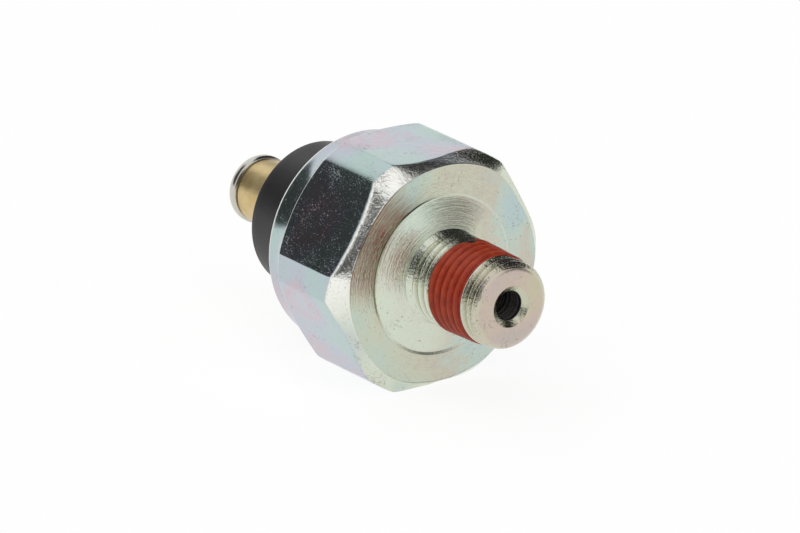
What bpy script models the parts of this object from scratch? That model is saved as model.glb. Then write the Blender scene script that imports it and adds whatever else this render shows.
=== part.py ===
"""Oil pressure sender: a screw-in switch for an engine's oil warning lamp.

The axis is X. The tapered port nipple points to +X, the terminal to -X, and the hexagon lies on one of its
flats. The origin is on the axis in the plane of the hexagon's front face. All lengths are in metres.
"""

import math

import bmesh
import bpy

MM = 0.001

# Hexagon body: cold-formed steel, turned at the corners and at both ends
ACROSS_FLATS = 24.0 * MM
ACROSS_CORNERS = 26.2 * MM
HEAD_LENGTH = 10.42 * MM
EDGE_RUN_FLAT = 1.30 * MM
EDGE_FALL_FLAT = 0.42 * MM
EDGE_RUN_CORNER = 1.90 * MM
EDGE_FALL_CORNER = 1.38 * MM
SHOULDER_SLOPE = 1.11
BAND_DIAMETER = 22.74 * MM
BODY_LENGTH = 14.9 * MM
FACE_RECESS_RADIUS = 8.3 * MM
FACE_RECESS_DEPTH = 0.25 * MM
FACE_RECESS_WALL = 0.30 * MM

# Port nipple: 10 mm taper thread of 1 mm pitch, drawn as the envelope of its crests
THREAD_MAJOR_DIAMETER = 10.0 * MM
THREAD_DEPTH = 0.60 * MM
THREAD_TAPER = 1.0 / 16.0
THREAD_GAUGE_LENGTH = 8.2 * MM
THREAD_RUN_IN = 0.75 * MM
NIPPLE_LENGTH = 11.9 * MM
NIPPLE_NOSE_ROUND = 1.1 * MM
NIPPLE_RELIEF = 0.9 * MM
NIPPLE_FOOT_ROUND = 0.3 * MM
FACE_CONE_ANGLE = math.radians(15.0)
PORT_DIAMETER = 3.2 * MM
PORT_MOUTH_DIAMETER = 4.4 * MM
PORT_MOUTH_DEPTH = 0.45 * MM
SEALANT_FROM_NOSE = 1.15 * MM
SEALANT_LENGTH = 6.0 * MM
SEALANT_PROUD = 0.08 * MM

# Pressure side inside the body
LEDGE_DEPTH = 5.2 * MM
CAVITY_DIAMETER = 19.8 * MM
CHAMBER_DIAMETER = 12.6 * MM
CHAMBER_DEPTH = 0.8 * MM
SEAL_DIAMETER = 16.4 * MM
SEAL_SECTION = 1.5 * MM
SEAL_GROOVE_DEPTH = 1.75 * MM
FILM_THICKNESS = 0.25 * MM
FILM_ROLL_HEIGHT = 0.45 * MM
FILM_ROLL_WIDTH = 1.0 * MM
LIP_THICKNESS = 1.1 * MM
LIP_OPENING = 17.0 * MM
LIP_ROUND = 0.70 * MM

# Contact parts
CONTACT_TRAVEL = 0.5 * MM
PLUNGER_HEAD_DIAMETER = 10.0 * MM
PLUNGER_HEAD_THICKNESS = 1.2 * MM
PLUNGER_STEM_DIAMETER = 3.0 * MM
PLATE_THICKNESS = 0.8 * MM
STEM_CLEARANCE = 0.2 * MM
FIXED_CONTACT_OUTER = 8.6 * MM
FIXED_CONTACT_INNER = 5.0 * MM
FIXED_CONTACT_THICKNESS = 0.5 * MM
MOVING_CONTACT_DIAMETER = 8.4 * MM
CONTACT_SHEET = 0.5 * MM
CONTACT_RIM = 1.5 * MM
SPRING_LENGTH = 4.3 * MM
SPRING_WIRE = 0.5 * MM
SPRING_MEAN_DIAMETER = 5.8 * MM
SPRING_TURNS = 4.5

# Terminal side
POST_CUP_BORE = 7.2 * MM
POST_CUP_WALL = 1.0 * MM
POST_DIAMETER = 6.8 * MM
POST_REACH = 31.2 * MM
POST_GROOVE_DEPTH = 0.5 * MM
POST_GROOVE_WIDTH = 1.4 * MM
TERMINAL_HOLE_DIAMETER = 3.5 * MM
CALIBRATION_LENGTH = 1.6 * MM
CALIBRATION_SLOT_WIDTH = 0.8 * MM
CALIBRATION_SLOT_DEPTH = 0.6 * MM
GASKET_THICKNESS = 1.0 * MM
BOSS_DIAMETER = 15.7 * MM
BOSS_REACH = 22.7 * MM
SKIRT_BORE = 13.4 * MM
SCREW_HEAD_DIAMETER = 7.3 * MM
SCREW_HEAD_HEIGHT = 1.7 * MM
SCREW_LENGTH = 7.0 * MM
RECESS_SPAN = 4.0 * MM
RECESS_WIDTH = 0.85 * MM
RECESS_DEPTH = 1.2 * MM

# Clearance kept between pieces that seat on each other, and the fineness of round pieces
FIT = 0.3 * MM
BODY_SIDES = 48
CAP_SIDES = 40
INNER_SIDES = 32

# Places along the axis, each one worked out from the piece in front of it
LEDGE_X = -LEDGE_DEPTH
SEAL_X = LEDGE_X + SEAL_GROOVE_DEPTH - FIT - SEAL_SECTION / 2
FILM_X = LEDGE_X - FIT
PLATE_X = FILM_X - FILM_THICKNESS - FIT
PLUNGER_X = PLATE_X
DISH_X = PLUNGER_X - PLUNGER_HEAD_THICKNESS - CONTACT_TRAVEL - FIT
FIXED_CONTACT_X = DISH_X - PLATE_THICKNESS - FIT
MOVING_CONTACT_X = FIXED_CONTACT_X - FIXED_CONTACT_THICKNESS - FIT
SPRING_X = MOVING_CONTACT_X - CONTACT_SHEET - FIT
POST_X = MOVING_CONTACT_X - CONTACT_RIM - CONTACT_TRAVEL - FIT
CALIBRATION_X = SPRING_X - SPRING_LENGTH - FIT
CUP_FLOOR_X = CALIBRATION_X - CALIBRATION_LENGTH - FIT
POST_SHOULDER_X = CUP_FLOOR_X - POST_CUP_WALL
POST_END_X = -POST_REACH
LIP_X = -BODY_LENGTH + LIP_THICKNESS
GASKET_X = LIP_X + FIT + GASKET_THICKNESS
FLANGE_REAR_X = GASKET_X + FIT
SKIRT_X = PLATE_X - PLATE_THICKNESS - FIT
SCREW_X = POST_END_X - FIT

# Radii that several pieces share
CAVITY_RADIUS = CAVITY_DIAMETER / 2
INSERT_RADIUS = CAVITY_RADIUS - FIT
POST_RADIUS = POST_DIAMETER / 2
POST_CUP_RADIUS = POST_CUP_BORE / 2 + POST_CUP_WALL
BOSS_RADIUS = BOSS_DIAMETER / 2
GROOVE_CENTRE_X = (POST_SHOULDER_X - BOSS_REACH) / 2
THREAD_END_X = NIPPLE_LENGTH - NIPPLE_NOSE_ROUND
SEALANT_END_X = THREAD_END_X - SEALANT_FROM_NOSE
SEALANT_X = SEALANT_END_X - SEALANT_LENGTH


def clear_scene():
    for thing in list(bpy.data.objects):
        bpy.data.objects.remove(thing, do_unlink=True)


def material(name, colour, roughness, metallic):
    made = bpy.data.materials.new(name)
    made.use_nodes = True
    shader = made.node_tree.nodes["Principled BSDF"]
    shader.inputs["Base Color"].default_value = (*colour, 1.0)
    shader.inputs["Roughness"].default_value = roughness
    shader.inputs["Metallic"].default_value = metallic
    return made


def finish(name, mesh, surface, x=0.0):
    """Makes the object of a mesh, with round faces shaded smooth and its place along the axis."""
    mesh.materials.append(surface)
    mesh.shade_smooth()
    mesh.set_sharp_from_angle(angle=math.radians(30))
    made = bpy.data.objects.new(name, mesh)
    made.location = (x, 0.0, 0.0)
    bpy.context.scene.collection.objects.link(made)
    return made


def helper(made):
    """Marks an object as a cutter, which isn't a piece of the sender."""
    made.hide_render = True
    made.display_type = "WIRE"
    return made


def cut(target, cutter):
    step = target.modifiers.new("cut_" + cutter.name, "BOOLEAN")
    step.operation = "DIFFERENCE"
    step.object = cutter


def rounded(corners, steps=2):
    """Turns corners (x, radius, rounding) of a section into points, each rounding drawn as an arc."""
    points = []
    count = len(corners)
    for index, corner in enumerate(corners):
        x, r = corner[:2]
        size = corner[2] if len(corner) > 2 else 0.0
        if not size:
            points.append((x, r))
            continue
        before = corners[index - 1]
        after = corners[(index + 1) % count]
        to_before = math.atan2(before[1] - r, before[0] - x)
        to_after = math.atan2(after[1] - r, after[0] - x)
        opening = (to_after - to_before + math.pi) % (2 * math.pi) - math.pi
        half = abs(opening) / 2
        reach = size / math.tan(half)
        middle = to_before + opening / 2
        centre_x = x + math.cos(middle) * reach / math.cos(half)
        centre_r = r + math.sin(middle) * reach / math.cos(half)
        start = math.atan2(
            r + math.sin(to_before) * reach - centre_r,
            x + math.cos(to_before) * reach - centre_x,
        )
        sweep = -math.copysign(math.pi - abs(opening), opening)
        for step in range(steps + 1):
            angle = start + sweep * step / steps
            points.append((centre_x + size * math.cos(angle), centre_r + size * math.sin(angle)))
    return points


def turned(name, section, surface, x=0.0, sides=INNER_SIDES):
    """Spins a closed section of (x, radius) points round the axis, or one whose two ends lie on it."""
    shape = bmesh.new()
    ring = [shape.verts.new((px, 0.0, pr)) for px, pr in section]
    edges = [shape.edges.new(pair) for pair in zip(ring, ring[1:])]
    if section[0][1] > 0.0 or section[-1][1] > 0.0:
        edges.append(shape.edges.new((ring[-1], ring[0])))
    bmesh.ops.spin(
        shape,
        geom=ring + edges,
        cent=(0.0, 0.0, 0.0),
        axis=(1.0, 0.0, 0.0),
        angle=2 * math.pi,
        steps=sides,
        use_merge=True,
    )
    bmesh.ops.remove_doubles(shape, verts=shape.verts, dist=1e-8)
    bmesh.ops.recalc_face_normals(shape, faces=shape.faces)
    mesh = bpy.data.meshes.new(name)
    shape.to_mesh(mesh)
    shape.free()
    return finish(name, mesh, surface, x)


def lofted(name, outlines, surface, x=0.0):
    """Joins closed outlines of equal count, each a list of 3-D points, and caps both ends."""
    shape = bmesh.new()
    loops = [[shape.verts.new(point) for point in outline] for outline in outlines]
    for loop, following in zip(loops, loops[1:]):
        for index in range(len(loop)):
            ahead = (index + 1) % len(loop)
            shape.faces.new((loop[index], loop[ahead], following[ahead], following[index]))
    shape.faces.new(loops[0])
    shape.faces.new(loops[-1])
    bmesh.ops.recalc_face_normals(shape, faces=shape.faces)
    mesh = bpy.data.meshes.new(name)
    shape.to_mesh(mesh)
    shape.free()
    return finish(name, mesh, surface, x)


def crest_radius(x):
    """Radius over the thread's crests: the major size at the gauge plane, growing towards the hexagon."""
    gauge_x = THREAD_END_X - THREAD_GAUGE_LENGTH
    return (THREAD_MAJOR_DIAMETER + (gauge_x - x) * THREAD_TAPER) / 2


def falling_arc(start, end, steps=4):
    """An arc in a section that leaves start along the axis and reaches end lower down."""
    (x0, r0), (x1, r1) = start, end
    run, fall = x1 - x0, r0 - r1
    sweep = 2 * math.atan2(fall, run)
    radius = run / math.sin(sweep)
    return [
        (x0 + radius * math.sin(sweep * step / steps), r0 - radius * (1 - math.cos(sweep * step / steps)))
        for step in range(steps + 1)
    ]


def flats_cutter(surface):
    """The stock that the six flats remove: a thick ring whose hexagonal hole closes in at the front edge."""
    outer_half = ACROSS_CORNERS
    rear_x = -BODY_LENGTH - EDGE_RUN_FLAT
    half = ACROSS_FLATS / 2
    edge = falling_arc((-EDGE_RUN_FLAT, half), (0.0, half - EDGE_FALL_FLAT))
    front_x = EDGE_RUN_FLAT

    def hexagon(x, across):
        reach = across / math.cos(math.pi / 6)
        turns = [math.pi / 3 * side for side in range(6)]
        return [(x, reach * math.cos(turn), reach * math.sin(turn)) for turn in turns]

    hole = [hexagon(rear_x, half)] + [hexagon(x, across) for x, across in edge]
    hole.append(hexagon(front_x, half - EDGE_FALL_FLAT))
    loops = hole + [hexagon(front_x, outer_half), hexagon(rear_x, outer_half)]
    shape = bmesh.new()
    rings = [[shape.verts.new(point) for point in loop] for loop in loops]
    for ring, following in zip(rings, rings[1:] + rings[:1]):
        for side in range(6):
            ahead = (side + 1) % 6
            shape.faces.new((ring[side], ring[ahead], following[ahead], following[side]))
    bmesh.ops.recalc_face_normals(shape, faces=shape.faces)
    mesh = bpy.data.meshes.new("flats_cutter")
    shape.to_mesh(mesh)
    shape.free()
    return helper(finish("flats_cutter", mesh, surface))


def nipple_section():
    """Outer side of the nipple, from its nose back over its rounded foot to the cone round it."""
    nose_r = crest_radius(THREAD_END_X)
    relief_r = crest_radius(NIPPLE_RELIEF) - THREAD_DEPTH
    run_in_x = NIPPLE_RELIEF + THREAD_RUN_IN
    nose = falling_arc((THREAD_END_X, nose_r), (NIPPLE_LENGTH, nose_r - NIPPLE_NOSE_ROUND))
    foot_x = (FACE_RECESS_RADIUS - relief_r) * math.tan(FACE_CONE_ANGLE) - FACE_RECESS_DEPTH
    foot = rounded(
        [
            (NIPPLE_RELIEF, relief_r),
            (foot_x, relief_r, NIPPLE_FOOT_ROUND),
            (-FACE_RECESS_DEPTH, FACE_RECESS_RADIUS),
        ]
    )
    return (
        list(reversed(nose))
        + [
            (SEALANT_END_X, crest_radius(SEALANT_END_X)),
            (SEALANT_END_X, crest_radius(SEALANT_END_X) - THREAD_DEPTH),
            (SEALANT_X, crest_radius(SEALANT_X) - THREAD_DEPTH),
            (SEALANT_X, crest_radius(SEALANT_X)),
            (run_in_x, crest_radius(run_in_x)),
        ]
        + foot
    )


def head_section():
    """Outer side of the head, from the wall of the recess in its front face back to the rolled lip."""
    corner_r = ACROSS_CORNERS / 2
    band_r = BAND_DIAMETER / 2
    shoulder_end = -HEAD_LENGTH - (corner_r - band_r) / SHOULDER_SLOPE
    front_edge = falling_arc((-EDGE_RUN_CORNER, corner_r), (0.0, corner_r - EDGE_FALL_CORNER))
    lip = rounded(
        [
            (shoulder_end, band_r),
            (-BODY_LENGTH, band_r, LIP_ROUND),
            (-BODY_LENGTH, LIP_OPENING / 2, FIT),
            (LIP_X, LIP_OPENING / 2),
        ],
        steps=3,
    )
    return (
        [(0.0, FACE_RECESS_RADIUS + FACE_RECESS_WALL)]
        + list(reversed(front_edge))
        + [(-HEAD_LENGTH, corner_r)]
        + lip
    )


def inner_section():
    """Inner side of the body, from the lip forward through seal groove and chamber to the port's mouth."""
    groove_x = LEDGE_X + SEAL_GROOVE_DEPTH
    groove_half = SEAL_SECTION / 2 + FIT
    seal_r = SEAL_DIAMETER / 2
    chamber_r = CHAMBER_DIAMETER / 2
    port_r = PORT_DIAMETER / 2
    return [
        (LIP_X, CAVITY_RADIUS),
        (LEDGE_X, CAVITY_RADIUS),
        (LEDGE_X, seal_r + groove_half),
        (groove_x, seal_r + groove_half),
        (groove_x, seal_r - groove_half),
        (LEDGE_X, seal_r - groove_half),
        (LEDGE_X, chamber_r),
        (LEDGE_X + CHAMBER_DEPTH, chamber_r),
        (LEDGE_X + CHAMBER_DEPTH, port_r),
        (NIPPLE_LENGTH - PORT_MOUTH_DEPTH, port_r),
        (NIPPLE_LENGTH, PORT_MOUTH_DIAMETER / 2),
    ]


def hex_body(surface):
    section = nipple_section() + head_section() + inner_section()
    body = turned("hex_body", section, surface, sides=BODY_SIDES)
    cut(body, flats_cutter(surface))
    return body


def thread_sealant(surface):
    """A sleeve of dried sealing compound, bonded over the middle turns of the thread."""
    start = SEALANT_X + FIT
    end = SEALANT_END_X - FIT
    inner_gap = THREAD_DEPTH - FIT
    section = [
        (start, crest_radius(start) - inner_gap),
        (start, crest_radius(start) + SEALANT_PROUD),
        (end, crest_radius(end) + SEALANT_PROUD),
        (end, crest_radius(end) - inner_gap),
    ]
    return turned("thread_sealant", section, surface, sides=BODY_SIDES)


def seal_ring(surface):
    """A rubber ring of round section that seals the diaphragm's rim."""
    sides = 12
    radius = SEAL_SECTION / 2
    section = [
        (
            radius * math.cos(2 * math.pi * side / sides),
            SEAL_DIAMETER / 2 + radius * math.sin(2 * math.pi * side / sides),
        )
        for side in range(sides)
    ]
    return turned("seal_ring", section, surface, SEAL_X)


def diaphragm(surface):
    """A thin film with one raised roll between its clamped rim and the plunger's head."""
    roll_r = CHAMBER_DIAMETER / 2 - FILM_ROLL_WIDTH / 2 - FIT
    steps = 6
    roll = [
        (
            FILM_ROLL_HEIGHT * math.sin(math.pi * step / steps) ** 2,
            roll_r + FILM_ROLL_WIDTH * (step / steps - 0.5),
        )
        for step in range(steps + 1)
    ]
    front = [(0.0, 0.0)] + roll + [(0.0, INSERT_RADIUS)]
    rear = [(x - FILM_THICKNESS, r) for x, r in reversed(front)]
    return turned("diaphragm", front + rear, surface, FILM_X)


def contact_plate(surface):
    """A dished steel plate: its rim is clamped in the body, and its hole guides the plunger."""
    depth = PLATE_X - DISH_X
    dish_r = PLUNGER_HEAD_DIAMETER / 2 + FIT
    hole_r = PLUNGER_STEM_DIAMETER / 2 + STEM_CLEARANCE
    bend = PLATE_THICKNESS / 4
    section = rounded(
        [
            (0.0, dish_r, bend),
            (0.0, INSERT_RADIUS),
            (-PLATE_THICKNESS, INSERT_RADIUS),
            (-PLATE_THICKNESS, dish_r + PLATE_THICKNESS),
            (-depth - PLATE_THICKNESS, dish_r + PLATE_THICKNESS, PLATE_THICKNESS),
            (-depth - PLATE_THICKNESS, hole_r),
            (-depth, hole_r),
            (-depth, dish_r, bend),
        ]
    )
    return turned("contact_plate", section, surface, PLATE_X)


def fixed_contact(surface):
    """A flat contact ring on the plate, which earths the moving contact while there is no pressure."""
    outer_r = FIXED_CONTACT_OUTER / 2
    edge = FIXED_CONTACT_THICKNESS / 3
    section = rounded(
        [
            (0.0, FIXED_CONTACT_INNER / 2),
            (0.0, outer_r),
            (-FIXED_CONTACT_THICKNESS, outer_r, edge),
            (-FIXED_CONTACT_THICKNESS, FIXED_CONTACT_INNER / 2, edge),
        ]
    )
    return turned("fixed_contact", section, surface, FIXED_CONTACT_X)


def plunger(surface):
    """A moulded pin that carries the diaphragm's stroke to the moving contact."""
    reach = PLUNGER_X - MOVING_CONTACT_X - FIT
    stem_r = PLUNGER_STEM_DIAMETER / 2
    section = [(0.0, 0.0)] + rounded(
        [
            (0.0, PLUNGER_HEAD_DIAMETER / 2, FIT),
            (-PLUNGER_HEAD_THICKNESS, PLUNGER_HEAD_DIAMETER / 2, FIT),
            (-PLUNGER_HEAD_THICKNESS, stem_r, FIT),
            (-reach, stem_r, FIT),
            (-reach, 0.0),
        ]
    )
    return turned("plunger", section, surface, PLUNGER_X - MOVING_CONTACT_X)


def moving_contact(surface):
    """A pressed cup that bridges the contact ring and the spring. Its rim keeps the spring in place."""
    outer_r = MOVING_CONTACT_DIAMETER / 2
    section = [(0.0, 0.0)] + rounded(
        [
            (0.0, outer_r, CONTACT_SHEET),
            (-CONTACT_RIM, outer_r),
            (-CONTACT_RIM, outer_r - CONTACT_SHEET),
            (-CONTACT_SHEET, outer_r - CONTACT_SHEET),
            (-CONTACT_SHEET, 0.0),
        ]
    )
    return turned("moving_contact", section, surface)


def switch_spring(surface):
    """A compression spring of round wire: a helix about the axis, its end turns closer together."""
    steps_per_turn = 16
    count = round(SPRING_TURNS * steps_per_turn)
    rise = SPRING_LENGTH - SPRING_WIRE
    radius = SPRING_MEAN_DIAMETER / 2
    end_squeeze = 0.25
    path = bpy.data.curves.new("switch_spring", "CURVE")
    path.dimensions = "3D"
    path.bevel_depth = SPRING_WIRE / 2
    path.bevel_resolution = 1
    path.use_fill_caps = True
    line = path.splines.new("POLY")
    line.points.add(count)
    for step in range(count + 1):
        share = step / count
        climbed = share - end_squeeze * math.sin(2 * math.pi * share) / (2 * math.pi)
        angle = 2 * math.pi * SPRING_TURNS * share
        x = -SPRING_WIRE / 2 - rise * climbed
        line.points[step].co = (x, radius * math.cos(angle), radius * math.sin(angle), 1.0)
    path.materials.append(surface)
    made = bpy.data.objects.new("switch_spring", path)
    made.location = (SPRING_X, 0.0, 0.0)
    bpy.context.scene.collection.objects.link(made)
    return made


def calibration_screw(surface):
    """A slotted disc in the post's cup. It sets the spring's load, and with it the switching pressure."""
    radius = POST_CUP_BORE / 2 - FIT
    section = [(0.0, 0.0)] + rounded(
        [
            (0.0, radius, FIT),
            (-CALIBRATION_LENGTH, radius, FIT),
            (-CALIBRATION_LENGTH, 0.0),
        ]
    )
    screw = turned("calibration_screw", section, surface, CALIBRATION_X)
    half_width = CALIBRATION_SLOT_WIDTH / 2
    slot_ends = (-CALIBRATION_LENGTH - FIT, -CALIBRATION_LENGTH + CALIBRATION_SLOT_DEPTH)
    outlines = [
        [
            (x, -half_width, -radius - FIT),
            (x, half_width, -radius - FIT),
            (x, half_width, radius + FIT),
            (x, -half_width, radius + FIT),
        ]
        for x in slot_ends
    ]
    cut(screw, helper(lofted("slot_cutter", outlines, surface, CALIBRATION_X)))
    return screw


def terminal_post(surface):
    """The brass terminal: a cup round the spring, a stem moulded into the insulator, and a tapped end."""
    hole_r = TERMINAL_HOLE_DIAMETER / 2
    half_groove = POST_GROOVE_WIDTH / 2
    groove_r = POST_RADIUS - POST_GROOVE_DEPTH
    section = rounded(
        [
            (POST_X, POST_CUP_BORE / 2),
            (POST_X, POST_CUP_RADIUS, FIT),
            (POST_SHOULDER_X, POST_CUP_RADIUS, FIT),
            (POST_SHOULDER_X, POST_RADIUS),
            (GROOVE_CENTRE_X + half_groove, POST_RADIUS),
            (GROOVE_CENTRE_X + half_groove, groove_r),
            (GROOVE_CENTRE_X - half_groove, groove_r),
            (GROOVE_CENTRE_X - half_groove, POST_RADIUS),
            (POST_END_X, POST_RADIUS, FIT),
            (POST_END_X, hole_r + FIT),
            (POST_END_X + FIT, hole_r),
            (CUP_FLOOR_X, hole_r),
            (CUP_FLOOR_X, POST_CUP_BORE / 2),
        ]
    )
    return turned("terminal_post", section, surface)


def insulator(surface):
    """The moulded black cap: a flange held in the body, and a round boss that carries the terminal."""
    half_rib = POST_GROOVE_WIDTH / 2 - FIT
    bore_r = POST_RADIUS + FIT
    chamber_end = POST_X - FIT
    section = rounded(
        [
            (SKIRT_X, SKIRT_BORE / 2),
            (SKIRT_X, INSERT_RADIUS, FIT),
            (FLANGE_REAR_X, INSERT_RADIUS, FIT),
            (FLANGE_REAR_X, BOSS_RADIUS, FIT),
            (-BOSS_REACH, BOSS_RADIUS, FIT),
            (-BOSS_REACH, bore_r),
            (GROOVE_CENTRE_X - half_rib, bore_r),
            (GROOVE_CENTRE_X - half_rib, bore_r - POST_GROOVE_DEPTH),
            (GROOVE_CENTRE_X + half_rib, bore_r - POST_GROOVE_DEPTH),
            (GROOVE_CENTRE_X + half_rib, bore_r),
            (POST_SHOULDER_X - FIT, bore_r),
            (POST_SHOULDER_X - FIT, POST_CUP_RADIUS + FIT),
            (chamber_end, POST_CUP_RADIUS + FIT),
            (chamber_end, SKIRT_BORE / 2, FIT),
        ]
    )
    return turned("insulator", section, surface, sides=CAP_SIDES)


def cap_gasket(surface):
    """A rubber ring between the insulator's flange and the rolled lip, which keeps water out."""
    section = rounded(
        [
            (0.0, BOSS_RADIUS + FIT),
            (0.0, INSERT_RADIUS),
            (-GASKET_THICKNESS, INSERT_RADIUS, FIT),
            (-GASKET_THICKNESS, BOSS_RADIUS + FIT, FIT),
        ]
    )
    return turned("cap_gasket", section, surface, GASKET_X, sides=CAP_SIDES)


def recess_outline(x, span, width):
    """The outline of a cross of four equal arms."""
    arm, half = span / 2, width / 2
    quadrant = [(arm, -half), (arm, half), (half, half)]
    outline = []
    for turn in range(4):
        for y, z in quadrant:
            for _ in range(turn):
                y, z = -z, y
            outline.append((x, y, z))
    return outline


def terminal_screw(surface):
    """The pan-head screw that clamps the lamp's ring terminal on the post."""
    shank_r = TERMINAL_HOLE_DIAMETER / 2 - FIT
    head_r = SCREW_HEAD_DIAMETER / 2
    lower_edge = SCREW_HEAD_HEIGHT / 5
    crown = SCREW_HEAD_HEIGHT * 0.45
    section = (
        [(SCREW_LENGTH, 0.0), (SCREW_LENGTH, shank_r - FIT), (SCREW_LENGTH - FIT, shank_r)]
        + rounded(
            [
                (0.0, shank_r),
                (0.0, head_r, lower_edge),
                (-SCREW_HEAD_HEIGHT, head_r, crown),
                (-SCREW_HEAD_HEIGHT, 0.0),
            ],
            steps=4,
        )
    )
    screw = turned("terminal_screw", section, surface, SCREW_X)
    shrink = 0.45
    outlines = [
        recess_outline(-SCREW_HEAD_HEIGHT - FIT, RECESS_SPAN, RECESS_WIDTH),
        recess_outline(-SCREW_HEAD_HEIGHT, RECESS_SPAN, RECESS_WIDTH),
        recess_outline(-SCREW_HEAD_HEIGHT + RECESS_DEPTH, RECESS_SPAN * shrink, RECESS_WIDTH * shrink),
    ]
    cut(screw, helper(lofted("recess_cutter", outlines, surface, SCREW_X)))
    return screw


def build():
    clear_scene()
    zinc = material("zinc_plated_steel", (0.62, 0.64, 0.60), 0.28, 1.0)
    sealant = material("thread_sealant", (0.42, 0.045, 0.025), 0.55, 0.0)
    rubber = material("nitrile_rubber", (0.015, 0.015, 0.015), 0.7, 0.0)
    film = material("polyimide_film", (0.55, 0.28, 0.05), 0.3, 0.0)
    steel = material("plain_steel", (0.50, 0.50, 0.50), 0.35, 1.0)
    silver = material("silver_contact", (0.85, 0.84, 0.80), 0.25, 1.0)
    phenolic = material("phenolic_brown", (0.12, 0.05, 0.02), 0.5, 0.0)
    moulding = material("black_moulding", (0.02, 0.02, 0.021), 0.55, 0.0)
    brass = material("brass", (0.66, 0.50, 0.22), 0.3, 1.0)
    spring_steel = material("spring_steel", (0.55, 0.53, 0.48), 0.3, 1.0)

    hex_body(zinc)
    thread_sealant(sealant)
    seal_ring(rubber)
    diaphragm(film)
    contact_plate(steel)
    fixed_contact(silver)
    terminal_post(brass)
    calibration_screw(brass)
    switch_spring(spring_steel)
    insulator(moulding)
    cap_gasket(rubber)
    terminal_screw(zinc)

    # The plunger and the moving contact slide together along the axis, towards -X
    slide = bpy.data.objects.new("contact_slide", None)
    slide.location = (MOVING_CONTACT_X, 0.0, 0.0)
    bpy.context.scene.collection.objects.link(slide)
    for piece in (moving_contact(brass), plunger(phenolic)):
        piece.parent = slide


build()
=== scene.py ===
"""The finish of a screw-in oil pressure sender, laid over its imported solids.

The axis is X with the port nipple at +X and the terminal at -X. Shapes are worked out in millimetres round
that axis: a point is (x, radius, angle), and the angle turns from +Y to +Z.
"""

import math
import bpy
import numpy as np
from mathutils import Matrix, Vector


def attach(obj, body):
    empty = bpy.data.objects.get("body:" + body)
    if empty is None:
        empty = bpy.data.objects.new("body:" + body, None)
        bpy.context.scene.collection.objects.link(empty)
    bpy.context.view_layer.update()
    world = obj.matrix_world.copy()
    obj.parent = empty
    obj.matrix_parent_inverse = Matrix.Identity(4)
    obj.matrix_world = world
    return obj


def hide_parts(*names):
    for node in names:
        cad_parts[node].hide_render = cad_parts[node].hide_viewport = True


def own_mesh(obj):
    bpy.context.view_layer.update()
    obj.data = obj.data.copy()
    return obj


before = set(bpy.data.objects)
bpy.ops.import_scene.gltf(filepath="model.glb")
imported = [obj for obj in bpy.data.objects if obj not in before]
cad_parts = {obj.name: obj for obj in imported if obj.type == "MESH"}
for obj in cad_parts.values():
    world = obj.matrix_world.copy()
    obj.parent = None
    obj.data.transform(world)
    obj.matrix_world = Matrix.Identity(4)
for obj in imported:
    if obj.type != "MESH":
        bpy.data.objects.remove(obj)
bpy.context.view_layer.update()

# The hexagonal body
# One piece of cold-formed steel: hexagon, threaded nipple, and a round band whose lip is rolled over the
# insulator. It is turned on its front face, its shoulder and its nipple, then zinc plated and passivated,
# which leaves a thin film of faint pink, blue, green and yellow. Handling in bulk nicks its flats and edges.

MM = 0.001

# The head: flats, corners and the face with its recess
FLAT_HALF = 12.0
CORNER_R = 13.1
EDGE_SOFTNESS = 0.05
FACE_MIDDLE_R = 8.9
RECESS_X = -0.14
RECESS_R = 8.3
RECESS_WALL = 0.30
FACE_CONE = math.tan(math.radians(14.0))
CONE_JOIN_R = 6.6
CONE_FOOT_R = 6.0

# The front edge round the axis: (angle in degrees, run of the chamfer along X, radius of the face's border)
FRONT_EDGE = [
    (0, 1.5, 11.90), (6, 1.45, 11.82), (12, 0.85, 11.72), (20, 0.42, 11.55), (33, 0.35, 11.33),
    (43, 0.45, 11.55), (52, 0.65, 11.80), (58, 1.1, 11.86), (64, 1.7, 11.84), (69, 2.4, 11.80),
    (75, 2.4, 11.76), (82, 2.2, 11.72), (90, 1.75, 11.68), (98, 1.5, 11.64), (105, 1.15, 11.65),
    (112, 1.5, 11.68), (120, 1.9, 11.72), (127, 1.6, 11.62), (138, 1.1, 11.42), (150, 0.88, 11.28),
    (162, 0.95, 11.42), (173, 1.25, 11.64), (180, 1.9, 11.62), (187, 2.2, 11.62), (195, 2.25, 11.60),
    (210, 1.8, 11.55), (225, 2.0, 11.62), (232, 1.7, 11.70), (240, 0.9, 11.80), (247, 0.35, 11.80),
    (258, 0.4, 11.65), (272, 0.9, 11.50), (288, 1.3, 11.60), (300, 1.6, 11.75), (315, 1.3, 11.60),
    (330, 1.0, 11.50), (345, 1.1, 11.65), (354, 1.6, 11.80),
]

# (angle in degrees, rounding between chamfer and side)
EDGE_ROUND = [(0, 0.16), (120, 0.16), (135, 0.30), (165, 0.30), (185, 0.16)]
EDGE_FULL_ROUND_SLOPE = 0.8
EDGE_ROWS = 23
EDGE_PAST = 0.6

# The rear shoulder, and (angle in degrees, how far the shoulder is off its place there)
HEAD_REAR_X = -10.42
SHOULDER_SLOPE = 1.11
REAR_SHIFT = [
    (0, 0.0), (30, -0.8), (60, -1.65), (70, -1.5), (80, -1.1), (90, -0.8), (105, -0.35), (120, 0.0),
]

# The band and its lip
BAND_R = 11.37
BAND_REAR_X = -14.9
LIP_START_X = -13.95
LIP_ROUND = 0.70
LIP_R = 8.5
LIP_THICKNESS = 1.1

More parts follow.
